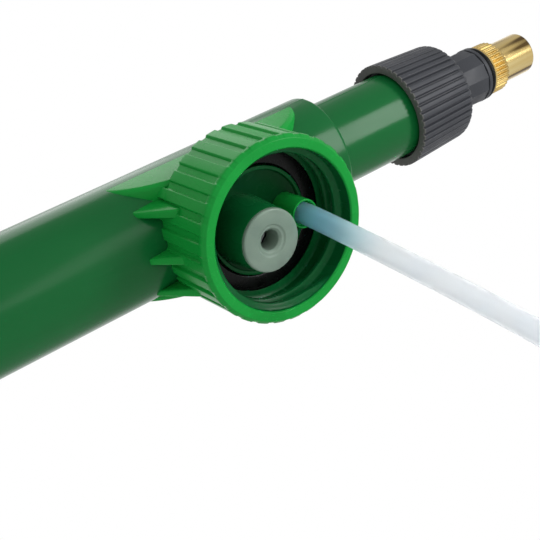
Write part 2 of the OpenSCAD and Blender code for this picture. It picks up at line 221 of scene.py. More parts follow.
GREEN = plastic("moulded_green", (0.0040, 0.112, 0.025), (0.0055, 0.135, 0.032),
                rough=(0.16, 0.24), grain=0.3, spec=0.2, flow=(0.3, 1, 1))
# the body's green made brighter for the cap, saddle, gussets, long ribs, web and small boss: painted
# light, for the stronger light they catch
PAINTED_LIGHT_GREEN = plastic("moulded_green_painted_light", (0.0065, 0.270, 0.036), (0.0100, 0.330, 0.047),
                    rough=(0.22, 0.32), grain=0.35, spec=0.13, flow=(1, 1, 0.4))
# a darker copy of the cap's green for its inside walls, thread and large boss: painted shade, where
# little light reaches
PAINTED_SHADE_GREEN = plastic("moulded_green_painted_shade", (0.0025, 0.085, 0.020), (0.0035, 0.115, 0.028),
                     rough=(0.22, 0.32), grain=0.35, spec=0.13, flow=(1, 1, 0.4))
# darker still, for the floor inside the cap: deeper painted shade
DEEPER_SHADE_GREEN = plastic("moulded_green_deeper_painted_shade", (0.0015, 0.040, 0.010), (0.0022, 0.058, 0.014),
                      rough=(0.22, 0.32), grain=0.35, spec=0.08, flow=(1, 1, 0.4))
GREY = plastic("moulded_grey", (0.036, 0.039, 0.046), (0.050, 0.053, 0.062),
               rough=(0.38, 0.52), grain=0.8, spec=0.3)
# a paler grey for the union nut's rear face and edge: painted light, where light catches them
GREY_PAINTED_LIGHT = plastic("moulded_grey_painted_light", (0.075, 0.076, 0.074), (0.135, 0.134, 0.126),
                    rough=(0.45, 0.60), grain=1.0, spec=0.3)
RUBBER = rubber("matt_rubber", (0.0015, 0.0022, 0.0018), (0.00285, 0.00418, 0.00342),
                rough=(0.22, 0.34))
PLUG = cloudy("cloudy_plug", (0.19, 0.27, 0.215), (0.25, 0.34, 0.27), rough=(0.30, 0.42),
              transmission=0.15, scatter=0.3, grain=0.3)
TUBE = cloudy("cloudy_tube", (0.93, 0.96, 0.985), (0.97, 0.985, 0.995), rough=(0.70, 0.82),
              transmission=0.80, scatter=0.0, grain=0.03, ior=1.2, coat=0.3)
tint_top(TUBE, (0.50, 0.86, 0.97), -0.023, -0.007)
BRASS = metal("turned_brass", [(NOISE_LOW, (0.66, 0.44, 0.13)), (0.75, (0.90, 0.68, 0.27))],
              rough=(0.12, 0.20), bump=0.05)
# the tip's own brass tone in the middle, with dark and bright streaks along the tip: painted
# reflection, for the dark and bright bands the polished tip reflects
TIP_BRASS_PAINTED_BANDS = metal("brass_painted_reflection_bands", [(0.38, (0.16, 0.10, 0.035)), (0.44, (0.78, 0.57, 0.22)),
                                     (0.60, (1.0, 0.84, 0.42))],
                  rough=(0.10, 0.20), scale=300, colour_stretch=(0.06, 1, 1), turned=(25, 1, 1))
STEEL = metal("bright_steel", [(NOISE_LOW, (0.50, 0.50, 0.52)), (0.75, (0.66, 0.66, 0.68))],
              rough=(0.22, 0.36))


# ---------------------------------------------------------------- mesh tools

SMOOTH_BELOW = 35      # edges that turn by less than this many degrees are shaded smooth
WELD = 1e-7            # points closer than this, in metres, become one
EDGE_SHARE = 0.48      # the most of a straight part that one rounded corner takes


def ease(t):
    """A step from 0 to 1 with a soft start and end, for t from 0 to 1."""
    return t * t * (3 - 2 * t)


def fillet(points, steps=5):
    """Rounds an outline's corners: points are (s, r), or (s, r, radius) for a rounded one."""
    out = []
    last = len(points) - 1
    for i, point in enumerate(points):
        here = np.array(point[:2], float)
        if len(point) < 3 or i in (0, last):
            out.append(tuple(here))
            continue
        before = np.array(points[i - 1][:2], float) - here
        after = np.array(points[i + 1][:2], float) - here
        len_before, len_after = np.linalg.norm(before), np.linalg.norm(after)
        before, after = before / len_before, after / len_after
        turn = math.acos(max(-1, min(1, float(before @ after))))
        cut = min(point[2] / math.tan(turn / 2), EDGE_SHARE * len_before, EDGE_SHARE * len_after)
        radius = cut * math.tan(turn / 2)
        middle = (before + after) / np.linalg.norm(before + after)
        centre = here + middle * radius / math.sin(turn / 2)
        start, end = here + before * cut - centre, here + after * cut - centre
        sweep = math.acos(max(-1, min(1, float(start @ end) / radius ** 2)))
        for k in range(steps + 1):
            t = k / steps
            arc = math.sin((1 - t) * sweep) * start + math.sin(t * sweep) * end
            out.append(tuple(centre + arc / math.sin(sweep)))
    return out


def loop(points, steps=5):
    """Rounds an outline that runs back to its start, which is on a straight part."""
    return fillet(points + [points[0]], steps)[:-1]


def tidy(obj, smooth_below=SMOOTH_BELOW):
    """Welds doubled points, turns the faces outwards and sets the shading."""
    bm = bmesh.new()
    bm.from_mesh(obj.data)
    bmesh.ops.remove_doubles(bm, verts=bm.verts, dist=WELD)
    bmesh.ops.dissolve_degenerate(bm, edges=bm.edges, dist=WELD)
    bmesh.ops.recalc_face_normals(bm, faces=bm.faces)
    bm.to_mesh(obj.data)
    bm.free()
    obj.data.shade_smooth()
    obj.data.set_sharp_from_angle(angle=math.radians(smooth_below))


def make_object(name, verts, faces, mat, smooth_below=SMOOTH_BELOW):
    """A new piece of the main collection; verts are in metres."""
    mesh = bpy.data.meshes.new(name)
    mesh.from_pydata([tuple(v) for v in verts], [], faces)
    mesh.materials.append(mat)
    obj = bpy.data.objects.new(name, mesh)
    bpy.context.scene.collection.objects.link(obj)
    tidy(obj, smooth_below)
    return obj


def grid_faces(rows, cols, wrap_rows=False):
    """The faces between rings of cols points; wrap_rows joins the last ring to the first."""
    faces = []
    for i in range(rows if wrap_rows else rows - 1):
        for j in range(cols):
            i2, j2 = (i + 1) % rows, (j + 1) % cols
            faces.append((i * cols + j, i * cols + j2, i2 * cols + j2, i2 * cols + j))
    return faces


PLAIN_ANGLES = np.linspace(0, 2 * math.pi, 96, endpoint=False)


def spun(name, rows, mat, axes=X_AXIS, at=(0, 0, AXIS_Z), angles=PLAIN_ANGLES, closed=False,
         smooth_below=SMOOTH_BELOW):
    """A turned piece. Rows are (s, r), or (s, r, added) with what each angle adds to r; closed
    says that the outline runs back to its start, as a ring's does."""
    axis, start, side = (np.array(direction, float) for direction in axes)
    rings = []
    for s, r, *added in rows:
        radius = np.maximum(np.full(len(angles), float(r)) + (added[0] if added else 0), 0)
        rings.append(np.array(at) + s * axis + np.outer(radius * np.cos(angles), start)
                     + np.outer(radius * np.sin(angles), side))
    return make_object(name, np.concatenate(rings) * MM,
                       grid_faces(len(rows), len(angles), closed), mat, smooth_below)


def raised(rows, pattern):
    """Rows of (s, r, height) with the height spread round the piece by a pattern of 0 to 1."""
    return [(s, r, height * pattern) for s, r, height in rows]


def rib_angles(count, marks, offset=0.0):
    """Column angles for ribs: marks are their places from a rib's middle, as from_rib gives."""
    fractions = sorted(set([-mark for mark in marks if 0 < mark < 0.5] + list(marks)))
    return np.array([2 * math.pi * (i + f) / count + offset
                     for i in range(count) for f in fractions])


def from_rib(angles, count, offset=0.0):
    """How far each angle is from its rib's middle, from -0.5 to 0.5 of the ribs' spacing."""
    return ((angles - offset) * count / (2 * math.pi) + 0.5) % 1 - 0.5


def rib_pattern(angles, count, top, base):
    """1 on a rib's flat top, 0 in the valley, with soft flanks from top to base."""
    away = np.abs(from_rib(angles, count))
    return ease(np.clip((base - away) / (base - top), 0, 1))


def cutter(name, low, high, r, axes, at):
    """A plain bar from low to high along its axis, to cut a hole with."""
    return spun(name, [(low, 0), (low, r), (high, r), (high, 0)], GREEN, axes, at)


def cut_with(obj, cutters):
    """Takes the cutters out of obj, then removes them."""
    for bar in cutters:
        mod = obj.modifiers.new("cut", "BOOLEAN")
        mod.operation = "DIFFERENCE"
        mod.solver = "EXACT"
        mod.object = bar
        bpy.context.view_layer.update()
        depsgraph = bpy.context.evaluated_depsgraph_get()
        mesh = bpy.data.meshes.new_from_object(obj.evaluated_get(depsgraph))
        obj.modifiers.clear()
        old = obj.data
        obj.data = mesh
        bpy.data.meshes.remove(old)
        bpy.data.objects.remove(bar)


def bevel_edges(obj, width, smooth_below=40):
    """Rounds every edge of a block or plate."""
    bm = bmesh.new()
    bm.from_mesh(obj.data)
    bmesh.ops.bevel(bm, geom=list(bm.edges), offset=width * MM, segments=4, affect="EDGES",
                    profile=0.5, clamp_overlap=True)
    bm.to_mesh(obj.data)
    bm.free()
    tidy(obj, smooth_below)


def second_material(obj, mat, chosen):
    """Gives mat to the faces whose centre, in millimetres, passes the test chosen."""
    obj.data.materials.append(mat)
    index = len(obj.data.materials) - 1
    for face in obj.data.polygons:
        if chosen(face.center / MM):
            face.material_index = index


def carry(obj, body, *nodes):
    """Makes obj ride on a body and stand for the CAD nodes named."""
    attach(obj, body)
    if nodes:
        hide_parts(*nodes)
    return obj


# ---------------------------------------------------------------- body: barrel and outlet tube

BARREL_BACK, OUTLET_END = body_low[0], body_high[0]
BARREL_R = body_high[2] - AXIS_Z
BARREL_FRONT, BORE_FRONT, OUTLET_BACK = 25.1, 0.5, 4.6
BORE_R, OUTLET_R, OUTLET_BORE_R = 9.0, 8.5, 5.5
SEAM_HEIGHT, SEAM_WIDTH, SEAM_R = 0.07, 0.16, 9.5
VALVE_X, TUBE_X = -3.5, 6.04            # where the air valve and the dip tube stand
AIR_HOLE_R, RISER_R = 1.5, 1.2          # the holes through barrel and cap over those two
LONGEST_ROW, ROW_STEP = 8, 6            # a longer straight part is split about every 6 mm


def seam_angles():
    """Columns round the barrel, close together at its two seams."""
    by_seam = np.array([0.0, 0.008, 0.016, 0.025, 0.036, 0.055])
    between = np.linspace(0.075, math.pi - 0.075, 62)
    half = np.concatenate([by_seam, between, math.pi - by_seam[:0:-1]])
    return np.concatenate([half, half + math.pi])


def split_long(rows):
    """Adds rows along the long straight parts of an outline of (s, r, 0 or 1)."""
    out = [rows[0]]
    for before, row in zip(rows, rows[1:]):
        length = abs(row[0] - before[0])
        count = int(length / ROW_STEP) if length > LONGEST_ROW else 1
        for k in range(1, count):
            t = k / count
            out.append((before[0] + (row[0] - before[0]) * t,
                        before[1] + (row[1] - before[1]) * t, before[2] * row[2]))
        out.append(row)
    return out


def barrel_piece():
    """The cylinder that the piston runs in, with the outlet tube on its closed front end."""
    line = fillet([(BORE_FRONT, 0), (BORE_FRONT, BORE_R, 0.4), (BARREL_BACK, BORE_R, 0.2),
                   (BARREL_BACK, BARREL_R, 0.3), (BARREL_FRONT, BARREL_R, 0.8),
                   (BARREL_FRONT, OUTLET_R, 0.5), (OUTLET_END, OUTLET_R, 0.4),
                   (OUTLET_END, OUTLET_BORE_R, 0.2), (OUTLET_BACK, OUTLET_BORE_R, 0.5),
                   (OUTLET_BACK, 0)], 6)
    # the mould's seam: a fine raised line on both sides, at the height of the axis
    rows = [(s, r, 1.0 if r > OUTLET_R - 0.2 and s > BARREL_BACK + 0.5 else 0.0)
            for s, r in line]
    angles = seam_angles()
    seam = SEAM_HEIGHT * np.exp(-(np.abs(np.sin(angles)) * SEAM_R / SEAM_WIDTH) ** 2)
    obj = spun("barrel", raised(split_long(rows), seam), GREEN, angles=angles)
    cut_with(obj, [cutter("air_hole", 1, 8, AIR_HOLE_R, Z_AXIS, (VALVE_X, 0, 0)),
                   cutter("riser_hole", 1, 14, RISER_R, Z_AXIS, (TUBE_X, 0, 0))])
    tidy(obj)
    return obj


carry(barrel_piece(), "frame", "body")

# ---------------------------------------------------------------- body: saddle

SADDLE_R, SADDLE_RISE = 18.35, 8.23     # each end's arc, and its centre's height over the axis
SADDLE_X, SADDLE_OUT = 0.6, 5.1         # the saddle's middle, and each arc's centre from there
SADDLE_LOW, SADDLE_HALF, SADDLE_ROUND = 5.0, 10.97, 0.9
SADDLE_CUT_R = 10.0                     # takes away what would stand in the barrel's bore


def saddle_piece():
    """The block between cap and barrel: both ends are arcs that spread upwards, and it is as
    wide as the barrel."""
    section = [(0.0, 0.0, False), (4.0, 0.0, False), (8.0, 0.0, False)]
    for angle in np.linspace(0, math.pi / 2, 7):
        section.append((SADDLE_HALF - SADDLE_ROUND + SADDLE_ROUND * math.sin(angle),
                        SADDLE_ROUND * (1 - math.cos(angle)), False))
    section.append((SADDLE_HALF, SADDLE_ROUND, True))
    around = section + [(-y, depth, top) for y, depth, top in section[:0:-1]]
    along = np.linspace(0, 1, 28)
    rows = []
    for side, fractions in ((-1, along), (1, along[::-1])):
        for t in fractions:
            row = []
            for y, depth, top in around:
                r = SADDLE_R - depth
                high_end = math.asin(SADDLE_RISE / r)
                low_end = math.asin(min(1, (AXIS_Z + SADDLE_RISE - SADDLE_LOW) / r))
                angle = high_end + t * (low_end - high_end)
                x = SADDLE_X + side * (SADDLE_OUT + r * math.cos(angle))
                z = AXIS_Z if top else AXIS_Z + SADDLE_RISE - r * math.sin(angle)
                row.append((x, y, z))
            rows.append(row)
    cols = len(around)
    faces = grid_faces(len(rows), cols)
    faces.append(tuple(range(cols - 1, -1, -1)))
    faces.append(tuple((len(rows) - 1) * cols + j for j in range(cols)))
    verts = np.array(rows).reshape(-1, 3) * MM
    obj = make_object("saddle", verts, faces, PAINTED_LIGHT_GREEN, 40)
    cut_with(obj, [cutter("bore_cut", -40, 40, SADDLE_CUT_R, X_AXIS, (0, 0, AXIS_Z))])
    tidy(obj, 40)
    return obj


carry(saddle_piece(), "frame")

# ---------------------------------------------------------------- body: cap

LIP_Z, CAP_TOP, LIP_R = body_low[2], 5.8, 16.4
SEAT_Z, SEAT_IN_R = 1.8, 9.75           # where the gasket's top sits, and its inner side
FLOOR_Z, RIM_Z, RIM_IN_R, RIM_OUT_R = 0.2, -0.4, 8.95, 9.7
INSIDE_HIGH, FLOOR_R = 4.0, 12.0        # inside faces below the first get painted shade, floor faces within the second deeper painted shade
CAP_RIBS, VALLEY_R, RIB_HEIGHT, BAND_WAVE = 30, 15.85, 0.45, 0.14
ROOT_R, THREAD_PITCH, THREAD_DEPTH = 14.0, 2.7, 1.15
THREAD_LOW, THREAD_TURNS, THREAD_FADE = LIP_Z + 1.25, 1.92, 0.06
THREAD_START = math.radians(60)
THREAD_HALF, THREAD_FLANK = 0.95, 0.6   # half the ridge's width, and each flank's
BEAD_DEPTH, BEAD_LOW, BEAD_HIGH, BEAD_FLANK = 1.5, -0.9, -0.1, 0.28
VALVE_HOLE_R, TUBE_HOLE_R = 4.3, 1.92


def thread_inwards(angles, s):
    """What the bottle's thread, and the bead that holds the gasket, add to the radius at s."""
    turn = ((angles - THREAD_START) / (2 * math.pi)) % 1
    ridge = np.zeros(len(angles))
    for along in (turn, turn + 1):
        centre = THREAD_LOW + THREAD_PITCH * along
        flank = np.clip((THREAD_HALF - np.abs(s - centre)) / THREAD_FLANK, 0, 1)
        start = np.clip(along / THREAD_FADE, 0, 1)
        end = np.clip((THREAD_TURNS - along) / THREAD_FADE, 0, 1)
        ridge = np.maximum(ridge, ease(flank) * start * end)
    bead = max(0.0, min(1.0, (s - BEAD_LOW) / BEAD_FLANK, (BEAD_HIGH - s) / BEAD_FLANK))
    return np.minimum(-THREAD_DEPTH * ridge, -BEAD_DEPTH * ease(bead))


def cap_piece():
    """The screw cap: its floor with a raised rim, thread, lip band, ribs outside and flat top."""
    angles = rib_angles(CAP_RIBS, [0, 0.12, 0.225, 0.262, 0.29, 0.315, 0.345, 0.38, 0.5])
    ribs = rib_pattern(angles, CAP_RIBS, 0.262, 0.352)
    rows = fillet([(FLOOR_Z, 0), (FLOOR_Z, RIM_IN_R, 0.15), (RIM_Z, RIM_IN_R + 0.1, 0.12),
                   (RIM_Z, RIM_OUT_R, 0.12), (SEAT_Z, SEAT_IN_R, 0.1),
                   (SEAT_Z, ROOT_R, 0.15), (1.2, ROOT_R)], 3)
    rows += [(s, ROOT_R, thread_inwards(angles, s)) for s in np.arange(0.1, LIP_Z + 0.34, -0.12)]
    lip = fillet([(LIP_Z + 0.32, ROOT_R), (LIP_Z + 0.25, ROOT_R), (LIP_Z, ROOT_R + 0.25, 0.12),
                  (LIP_Z, 15.75, 0.25), (LIP_Z + 0.75, 16.38, 0.7), (LIP_Z + 1.42, LIP_R)], 6)
    # the ribs still show on the lip band, as low waves
    rows += raised([(s, r - BAND_WAVE, BAND_WAVE) if r > 16 else (s, r, 0.0) for s, r in lip], ribs)
    # the valleys between the ribs run out at the band in small scallops
    runout = [(-6.84, 0.40), (-6.76, 0.36), (-6.68, 0.27), (-6.58, 0.16), (-6.44, 0.06),
              (-6.28, 0.015), (-6.1, 0.0)]
    rows += raised([(s, VALLEY_R + fill, RIB_HEIGHT - fill) for s, fill in runout], ribs)
    rows += raised([(s, VALLEY_R - drop, share * RIB_HEIGHT) for s, drop, share in
                    ((-3.0, 0, 1), (0.0, 0, 1), (3.0, 0, 1), (5.1, 0, 1), (5.4, 0, 0.96),
                     (5.62, 0, 0.84), (5.75, 0.05, 0.62), (CAP_TOP, 0.2, 0.35))], ribs)
    rows += [(CAP_TOP, 14.6), (CAP_TOP, 8.0), (CAP_TOP, 0.0)]
    obj = spun("cap", rows, PAINTED_LIGHT_GREEN, Z_AXIS, (0, 0, 0), angles, smooth_below=50)
    cut_with(obj, [cutter("valve_hole", -3, 2.0, VALVE_HOLE_R, Z_AXIS, (VALVE_X, 0, 0)),
                   cutter("air_hole", 1, 7, AIR_HOLE_R, Z_AXIS, (VALVE_X, 0, 0)),
                   cutter("tube_hole", -3, 1.3, TUBE_HOLE_R, Z_AXIS, (TUBE_X, 0, 0)),
                   cutter("riser_hole", 1, 7, RISER_R, Z_AXIS, (TUBE_X, 0, 0))])
    tidy(obj, 50)
    # painted shade: the inside walls and thread get a darker green, and the floor darker still, for
    # the shade deep in the cap
    second_material(obj, PAINTED_SHADE_GREEN, lambda c: (math.hypot(c.x, c.y) < ROOT_R + 0.1
                                                and LIP_Z + 0.2 < c.z < INSIDE_HIGH))
    second_material(obj, DEEPER_SHADE_GREEN, lambda c: (math.hypot(c.x, c.y) < FLOOR_R
                                                 and 0 < c.z < INSIDE_HIGH))
    return obj


carry(cap_piece(), "frame")

# ---------------------------------------------------------------- body: gussets and long ribs

LONG_RIB_TURN = 36      # the long ribs stand this many degrees to each side of the back


def wedge(name, outline, y_mid, widths, between, bevel):
    """A plate standing across Y, with its outline in X and Z. It thins from the first width to
    the second between two places along X."""
    verts = []
    for side in (-1, 1):
        for x, z in outline:
            t = min(1, max(0, (between[0] - x) / (between[0] - between[1])))
            half_w = 0.5 * (widths[0] + (widths[1] - widths[0]) * t)
            verts.append((x * MM, (y_mid + side * half_w) * MM, z * MM))
    n = len(outline)
    faces = [tuple(range(n - 1, -1, -1)), tuple(range(n, 2 * n))]
    faces += [(i, (i + 1) % n, n + (i + 1) % n, n + i) for i in range(n)]
    obj = make_object(name, verts, faces, PAINTED_LIGHT_GREEN, 30)
    bevel_edges(obj, bevel)
    return carry(obj, "frame")


wedge("gusset_mid", [(-14.6, -1.4), (-16.3, -1.2), (-19.9, 4.0), (-19.9, 5.6), (-14.6, 6.4)],
      y_mid=0, widths=(1.7, 1.1), between=(-15.5, -19.9), bevel=0.35)
for side, word in ((-1, "near"), (1, "far")):
    wedge("gusset_" + word, [(-12.6, 0.2), (-14.5, 0.4), (-18.9, 7.1), (-18.9, 8.8), (-12.6, 9.2)],
          y_mid=side * 7.5, widths=(1.7, 1.1), between=(-14.0, -18.9), bevel=0.35)
for side, word in ((-1, "near"), (1, "far")):
    rib = wedge("long_rib_" + word, [(-15.6, 5.0), (-16.32, 5.0), (-16.32, 8.0), (-15.7, 9.4),
                                     (-12.4, 9.6), (-12.4, 5.0)],
                y_mid=0, widths=(1.9, 1.9), between=(-12.4, -16.32), bevel=0.25)
    turn = Matrix.Rotation(-side * math.radians(LONG_RIB_TURN), 4, "Z")
    rib.matrix_world = turn @ rib.matrix_world

# ---------------------------------------------------------------- body: bosses in the cap

SPIGOT_R, SPIGOT_TOP = 4.72, -2.6       # the plug's seat in the large boss
BOSS_END, BOSS_TOP = -8.2, 1.9
SMALL_BOSS_END, SMALL_BOSS_TOP = -5.86, 1.6


def web_piece(low, high):
    """The block that joins the two bosses, from its low corner to its high one."""
    verts = [(x * MM, y * MM, z * MM) for x in (low[0], high[0]) for y in (low[1], high[1])
             for z in (low[2], high[2])]
    faces = [(0, 1, 3, 2), (4, 6, 7, 5), (0, 4, 5, 1), (2, 3, 7, 6), (0, 2, 6, 4), (1, 5, 7, 3)]
    obj = make_object("boss_web", verts, faces, PAINTED_LIGHT_GREEN, 30)
    bevel_edges(obj, 0.3)
    return obj


large_rows = fillet([(BOSS_TOP, 6.2), (BOSS_END, 5.57, 0.1), (BOSS_END, SPIGOT_R, 0.1),
                     (SPIGOT_TOP, SPIGOT_R, 0.05), (SPIGOT_TOP, VALVE_HOLE_R, 0.05),
                     (BOSS_TOP, VALVE_HOLE_R)], 4)
# the large boss stands deep in the cap, so it gets the painted shade green
carry(spun("valve_boss", large_rows, PAINTED_SHADE_GREEN, Z_AXIS, (VALVE_X, 0, 0), closed=True), "frame")
small_rows = fillet([(SMALL_BOSS_TOP, 2.62), (SMALL_BOSS_END, 2.58, 0.15),
                     (SMALL_BOSS_END, 2.3, 0.05), (SMALL_BOSS_END + 1.2, TUBE_HOLE_R, 0.3),
                     (1.2, TUBE_HOLE_R)], 4)
carry(spun("tube_boss", small_rows, PAINTED_LIGHT_GREEN, Z_AXIS, (TUBE_X, 0, 0), closed=True), "frame")
carry(web_piece((2.0, -1.1, -5.5), (3.9, 1.1, 1.4)), "frame")

# ---------------------------------------------------------------- neck gasket and valve plug

GASKET_IN_R = 9.86
GASKET_R, _, GASKET_TOP = cad_box("neck_gasket")[1]
PLUG_END = cad_box("valve_plug")[0][2]
PLUG_R, PLUG_BODY_R, PLUG_TOP = 5.5, 4.7, -2.62
PLUG_HOLE_R, POCKET_R, POCKET_FLOOR = 1.8, 3.7, -4.7

gasket_rows = loop([(1.0, GASKET_IN_R), (0.0, GASKET_IN_R, 0.35), (0.0, GASKET_R, 0.2),
                    (GASKET_TOP, GASKET_R, 0.1), (GASKET_TOP, GASKET_IN_R, 0.1)], 4)
carry(spun("neck_gasket_ring", gasket_rows, RUBBER, Z_AXIS, (0, 0, 0), closed=True),
      "frame", "neck_gasket")

# the plug's head has a sunk ring round its hole, and its pocket holds the valve's spring
plug_rows = loop([(-4.0, PLUG_BODY_R), (-8.18, PLUG_BODY_R, 0.05), (-8.18, PLUG_R, 0.1),
                  (PLUG_END, PLUG_R, 0.4), (PLUG_END, 2.9, 0.12), (-8.75, 2.62, 0.12),
                  (-8.75, 2.2, 0.1), (-8.35, PLUG_HOLE_R, 0.2),
                  (POCKET_FLOOR, PLUG_HOLE_R, 0.1), (POCKET_FLOOR, POCKET_R, 0.2),
                  (PLUG_TOP, POCKET_R, 0.15), (PLUG_TOP, PLUG_BODY_R, 0.15)])
carry(spun("valve_plug_disc", plug_rows, PLUG, Z_AXIS, (VALVE_X, 0, 0), closed=True),
      "frame", "valve_plug")

# ---------------------------------------------------------------- dip tube

TUBE_TOP, TUBE_EXIT, TUBE_R, TUBE_BORE_R = 1.25, -5.2, 1.9, 1.3
TUBE_EDGE = 0.1                         # the bevel at the pipe's ends
TUBE_HEADING = math.radians(60.7)       # the upright plane that the pipe bends in
UPWARDS = np.array([0, 0, 1])

# (length of a straight part, or radius of a bend; degrees it bends; steps)
TUBE_LEGS = [(TUBE_TOP - TUBE_EXIT, 0.0, 4), (16, 13.3, 6), (328, 5.24, 12), (143, 5.6, 8),
             (200, -32, 40), (84, 0.0, 20)]


def tube_route(side):
    """(point, tilt) along the pipe from its top; tilt is the angle from straight down."""
    point = np.array([TUBE_X, 0, TUBE_TOP])
    tilt = 0.0
    route = [(point, tilt)]
    for size, turn, steps in TUBE_LEGS:
        length = size if turn == 0 else size * math.radians(abs(turn))
        step_turn = math.radians(turn) / steps
        for _ in range(steps):
            middle = tilt + step_turn / 2
            heading = side * math.sin(middle) - UPWARDS * math.cos(middle)
            point = point + heading * length / steps
            tilt += step_turn
            route.append((point, tilt))
    return route


def dip_tube_piece():
    """A pipe along the route: down its outside, back up its bore."""
    side = np.array([math.cos(TUBE_HEADING), math.sin(TUBE_HEADING), 0])
    across = np.array([-side[1], side[0], 0])
    route = tube_route(side)
    turns = np.linspace(0, 2 * math.pi, 40, endpoint=False)

    def ring(index, r, shift=0.0):
        point, tilt = route[index]
        down = side * math.sin(tilt) - UPWARDS * math.cos(tilt)
        out = side * math.cos(tilt) + UPWARDS * math.sin(tilt)
        return (point + down * shift + np.outer(r * np.cos(turns), out)
                + np.outer(r * np.sin(turns), across))

    last = len(route) - 1
    rings = [ring(0, TUBE_BORE_R + TUBE_EDGE), ring(0, TUBE_R - TUBE_EDGE),
             ring(0, TUBE_R, TUBE_EDGE)]
    rings += [ring(i, TUBE_R) for i in range(1, last)]
    rings += [ring(last, TUBE_R, -TUBE_EDGE), ring(last, TUBE_R - TUBE_EDGE),
              ring(last, TUBE_BORE_R + TUBE_EDGE), ring(last, TUBE_BORE_R, -TUBE_EDGE)]
    rings += [ring(i, TUBE_BORE_R) for i in range(last - 1, 0, -1)]
    rings.append(ring(0, TUBE_BORE_R, TUBE_EDGE))
    return make_object("dip_tube_pipe", np.concatenate(rings) * MM,
                       grid_faces(len(rings), len(turns), True), TUBE, 60)


carry(dip_tube_piece(), "frame", "dip_tube")

# ---------------------------------------------------------------- union nut

nut_low, nut_high = cad_box("union_nut")
NUT_BACK, NUT_FRONT = nut_low[0], nut_high[0]
NUT_RIBS, NUT_BACK_R, NUT_FRONT_R, NUT_GROOVE = 44, 10.7, 10.0, 0.5
NUT_BORE_R, NUT_LEAD_R, NUT_HOLE_R, NUT_WALL = 8.56, 9.0, 5.75, 1.5
PAINTED_LIGHT_EDGE = 0.2                         # how much of the nut's rear edge is painted paler, for the light it catches
RIB_MARKS = [0, 0.14, 0.265, 0.305, 0.345, 0.385, 0.425, 0.5]
RIB_TOP, RIB_BASE = 0.27, 0.43


def nut_valley(x):
    """The radius between the nut's ribs, which falls from back to front."""
    fall = (NUT_FRONT_R - NUT_BACK_R) * (x - NUT_BACK) / (NUT_FRONT - NUT_BACK)
    return NUT_BACK_R + fall - NUT_GROOVE


def nut_piece():
    """The nut with its ribs, its notched rear edge with painted light on it, and its stepped bore.
    """
    angles = rib_angles(NUT_RIBS, RIB_MARKS)
    ribs = rib_pattern(angles, NUT_RIBS, RIB_TOP, RIB_BASE)
    lead_end, seat = NUT_BACK + NUT_WALL, NUT_FRONT - NUT_WALL
    middle = 50.0       # on the bore, where the outline starts and ends
    rows = fillet([(middle, NUT_BORE_R), (lead_end, NUT_BORE_R, 0.1), (lead_end, NUT_LEAD_R, 0.1),
                   (NUT_BACK, NUT_LEAD_R, 0.2), (NUT_BACK, 10.1)], 4)
    sides = [(NUT_BACK + 0.01, 0.40), (NUT_BACK + 0.05, 0.46), (NUT_BACK + 0.12, 0.49),
             (NUT_BACK + 0.25, NUT_GROOVE)]
    sides += [(s, NUT_GROOVE) for s in np.linspace(NUT_BACK + 0.6, NUT_FRONT - 1.3, 9)]
    rows += raised([(s, nut_valley(s), height) for s, height in sides], ribs)
    rows += raised([(NUT_FRONT - 0.8, 9.44, 0.53), (NUT_FRONT - 0.4, 9.30, 0.44),
                    (NUT_FRONT - 0.15, 9.08, 0.30), (NUT_FRONT - 0.02, 8.80, 0.12),
                    (NUT_FRONT, 8.5, 0.0)], ribs)
    rows += fillet([(NUT_FRONT, 8.0), (NUT_FRONT, NUT_HOLE_R, 0.15), (seat, NUT_HOLE_R, 0.1),
                    (seat, NUT_BORE_R, 0.2), (middle, NUT_BORE_R)], 4)[:-1]
    obj = spun("union_nut_ribbed", rows, GREY, angles=angles, closed=True, smooth_below=50)
    # painted light: the rear face and edge get the paler grey
    second_material(obj, GREY_PAINTED_LIGHT, lambda c: c.x < NUT_BACK + PAINTED_LIGHT_EDGE)
    return obj


carry(nut_piece(), "clamp_nut", "union_nut")

# ---------------------------------------------------------------- jet holder and its ring

HOLDER_BACK, HOLDER_FRONT = 56.55, cad_box("nozzle_holder")[1][0]
HOLDER_BORE_R, HOLDER_FLANGE_R, HOLDER_COLLAR_R = 2.52, 8.08, 5.72
HOLDER_FLATS, HOLDER_TURN = 12, math.radians(8)
ring_low, ring_high = cad_box("holder_o_ring")
RING_BACK, RING_FRONT, RING_IN_R = ring_low[0], ring_high[0], 3.15


def holder_piece():
    """The neck in front of the nut: a flange inside the nut, twelve flats and a round collar."""
    angles = rib_angles(HOLDER_FLATS, [0, 0.2, 0.38, 0.44, 0.47, 0.5], HOLDER_TURN)
    flat = 2 * math.pi / HOLDER_FLATS
    corner = np.cos(flat / 2) / np.cos(from_rib(angles, HOLDER_FLATS, HOLDER_TURN) * flat) - 1
    flange_front = HOLDER_BACK + 0.2
    rows = fillet([(59.0, HOLDER_BORE_R), (HOLDER_BACK, HOLDER_BORE_R, 0.1),
                   (HOLDER_BACK, HOLDER_FLANGE_R, 0.15), (flange_front, HOLDER_FLANGE_R, 0.05),
                   (flange_front, 5.3, 0.1), (58.6, 5.3)], 4)
    rows += [(s, r, r * corner) for s, r in
             ((58.9, 5.55), (60.5, 5.58), (64.0, 5.68), (66.9, 5.76), (67.1, 5.70))]
    rows += fillet([(67.2, 5.35), (67.25, 5.5), (67.3, HOLDER_COLLAR_R, 0.1),
                    (HOLDER_FRONT, HOLDER_COLLAR_R, 0.2), (HOLDER_FRONT, HOLDER_BORE_R, 0.2),
                    (60.0, HOLDER_BORE_R)], 4)
    return spun("nozzle_holder_neck", rows, GREY, angles=angles, closed=True, smooth_below=25)


carry(holder_piece(), "jet_holder", "nozzle_holder")

